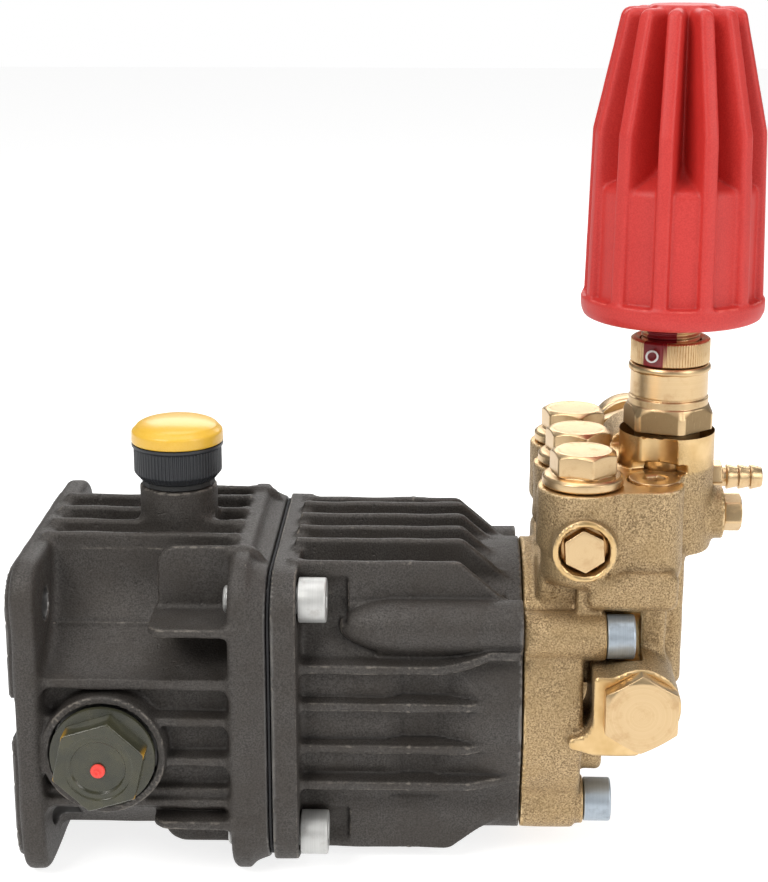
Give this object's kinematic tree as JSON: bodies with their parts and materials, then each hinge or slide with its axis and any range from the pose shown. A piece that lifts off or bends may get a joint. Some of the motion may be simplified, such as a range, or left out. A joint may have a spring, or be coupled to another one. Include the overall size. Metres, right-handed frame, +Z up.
{
  "type": "pressure washer pump",
  "caption": "Direct-drive triplex plunger pump with a finned dark gearcase, a brass head with valve caps, a tall red ribbed pressure knob and a yellow oil cap.",
  "frame": {"origin": "middle of the overall box, at the height of the lowest edge of the flanges", "axes": "+Z up; +X along the shaft from the engine flange to the brass head; +Y away from the side with the sight glass"},
  "size_m": [0.2218, 0.1196, 0.2496],
  "materials": {
    "cast_aluminium": "dark sand-cast surface, fine grain",
    "cast_brass": "sand-cast brass, fine grain",
    "machined_brass": "turned and milled, bright",
    "red_plastic": "fine moulded texture, satin",
    "yellow_plastic": "glossy",
    "black_plastic": "satin, knurled",
    "zinc_steel": "zinc plated, dull",
    "steel": "ground",
    "spring_steel": "drawn wire",
    "rubber": "matt",
    "gasket_fibre": "matt sheet",
    "oil_glass": "tinted, clear window moulding",
    "red_dot": "printed dot"
  },
  "bodies": {
    "casing": {"gearcase": "cast_aluminium", "plunger_housing": "cast_aluminium", "sight_glass": "oil_glass", "sight_glass_seal": "rubber", "shaft_oil_seal": "rubber", "water_seal_1": "rubber", "water_seal_2": "rubber", "water_seal_3": "rubber", "sight_glass_dot": "red_dot", "oil_drain_plug": "zinc_steel", "stop_nut_screw": "zinc_steel", "case_screw_1": "zinc_steel", "case_screw_2": "zinc_steel", "case_screw_3": "zinc_steel", "case_screw_4": "zinc_steel", "head_bolt_1": "zinc_steel", "head_bolt_2": "zinc_steel", "head_bolt_3": "zinc_steel", "head_bolt_4": "zinc_steel", "case_gasket": "gasket_fibre", "front_bearing": "steel", "tail_bearing": "steel", "unloader_spring": "spring_steel", "plunger_spring_1": "spring_steel", "plunger_spring_2": "spring_steel", "plunger_spring_3": "spring_steel", "pump_head": "cast_brass", "valve_cap_1": "machined_brass", "valve_cap_2": "machined_brass", "valve_cap_3": "machined_brass", "gallery_plug": "machined_brass", "inlet_plug": "machined_brass", "socket_plug": "machined_brass", "relief_plug": "machined_brass", "hose_barb": "machined_brass", "outlet_fitting": "machined_brass", "inlet_fitting": "machined_brass", "unloader_body": "machined_brass", "stop_nut": "machined_brass"},
    "rotor": {"drive_shaft": "steel", "swash_plate": "steel", "thrust_race": "steel"},
    "pressure_button": {"spring_button": "steel"},
    "pressure_knob": {"unloader_knob": "red_plastic"},
    "filler_lift": {"oil_cap_seal": "rubber"},
    "filler_cap": {"oil_cap": "black_plastic", "oil_cap_insert": "yellow_plastic"},
    "bypass_piston": {"unloader_piston": "steel"},
    "plunger_unit_1": {"plunger_1": "steel", "spring_retainer_1": "steel"},
    "discharge_poppet_1": {"discharge_valve_1": "steel"},
    "suction_poppet_1": {"suction_valve_1": "steel"},
    "plunger_unit_2": {"plunger_2": "steel", "spring_retainer_2": "steel"},
    "discharge_poppet_2": {"discharge_valve_2": "steel"},
    "suction_poppet_2": {"suction_valve_2": "steel"},
    "plunger_unit_3": {"plunger_3": "steel", "spring_retainer_3": "steel"},
    "discharge_poppet_3": {"discharge_valve_3": "steel"},
    "suction_poppet_3": {"suction_valve_3": "steel"}
  },
  "joints": [
    {"name": "shaft_spin", "type": "hinge", "parent": "casing", "child": "rotor", "pos_m": [-0.109, -0.00213, 0.0485], "axis": [1, 0, 0], "continuous": true},
    {"name": "plunger_1_stroke", "type": "slide", "parent": "casing", "child": "plunger_unit_1", "axis": [1, 0, 0], "range_m": [-0.0075, 0], "stiffness_N_per_m": 400, "deforming": ["plunger_spring_1"]},
    {"name": "plunger_2_stroke", "type": "slide", "parent": "casing", "child": "plunger_unit_2", "axis": [1, 0, 0], "range_m": [-0.00187, 0.00562], "stiffness_N_per_m": 400, "deforming": ["plunger_spring_2"]},
    {"name": "plunger_3_stroke", "type": "slide", "parent": "casing", "child": "plunger_unit_3", "axis": [1, 0, 0], "range_m": [-0.00187, 0.00562], "stiffness_N_per_m": 400, "deforming": ["plunger_spring_3"]},
    {"name": "knob_rise", "type": "slide", "parent": "casing", "child": "pressure_button", "axis": [0, 0, 1], "range_m": [-0.0015, 0.0045], "deforming": ["unloader_spring"]},
    {"name": "knob_turn", "type": "hinge", "parent": "pressure_button", "child": "pressure_knob", "pos_m": [0.0796, -0.00213, 0.1565], "axis": [0, 0, 1], "range_deg": [-360, 1080]},
    {"name": "bypass_piston_lift", "type": "slide", "parent": "casing", "child": "bypass_piston", "axis": [0, 0, 1], "range_m": [0, 0.0015], "stiffness_N_per_m": 1500, "deforming": ["unloader_spring"]},
    {"name": "filler_rise", "type": "slide", "parent": "casing", "child": "filler_lift", "axis": [0, 0, 1], "range_m": [0, 0.009]},
    {"name": "filler_turn", "type": "hinge", "parent": "filler_lift", "child": "filler_cap", "pos_m": [-0.0667, -0.00213, 0.1085], "axis": [0, 0, 1], "range_deg": [0, 1080]},
    {"name": "discharge_valve_1_lift", "type": "slide", "parent": "casing", "child": "discharge_poppet_1", "axis": [0, 0, 1], "range_m": [0, 0.0015], "stiffness_N_per_m": 200},
    {"name": "discharge_valve_2_lift", "type": "slide", "parent": "casing", "child": "discharge_poppet_2", "axis": [0, 0, 1], "range_m": [0, 0.0015], "stiffness_N_per_m": 200},
    {"name": "discharge_valve_3_lift", "type": "slide", "parent": "casing", "child": "discharge_poppet_3", "axis": [0, 0, 1], "range_m": [0, 0.0015], "stiffness_N_per_m": 200},
    {"name": "suction_valve_1_lift", "type": "slide", "parent": "casing", "child": "suction_poppet_1", "axis": [-1, 0, 0], "range_m": [0, 0.0015], "stiffness_N_per_m": 200},
    {"name": "suction_valve_2_lift", "type": "slide", "parent": "casing", "child": "suction_poppet_2", "axis": [-1, 0, 0], "range_m": [0, 0.0015], "stiffness_N_per_m": 200},
    {"name": "suction_valve_3_lift", "type": "slide", "parent": "casing", "child": "suction_poppet_3", "axis": [-1, 0, 0], "range_m": [0, 0.0015], "stiffness_N_per_m": 200}
  ],
  "couplings": [
    {"joint": "knob_turn", "follows": "knob_rise", "rad_per_m": 4188.8},
    {"joint": "filler_turn", "follows": "filler_rise", "rad_per_m": 2094.4}
  ]
}
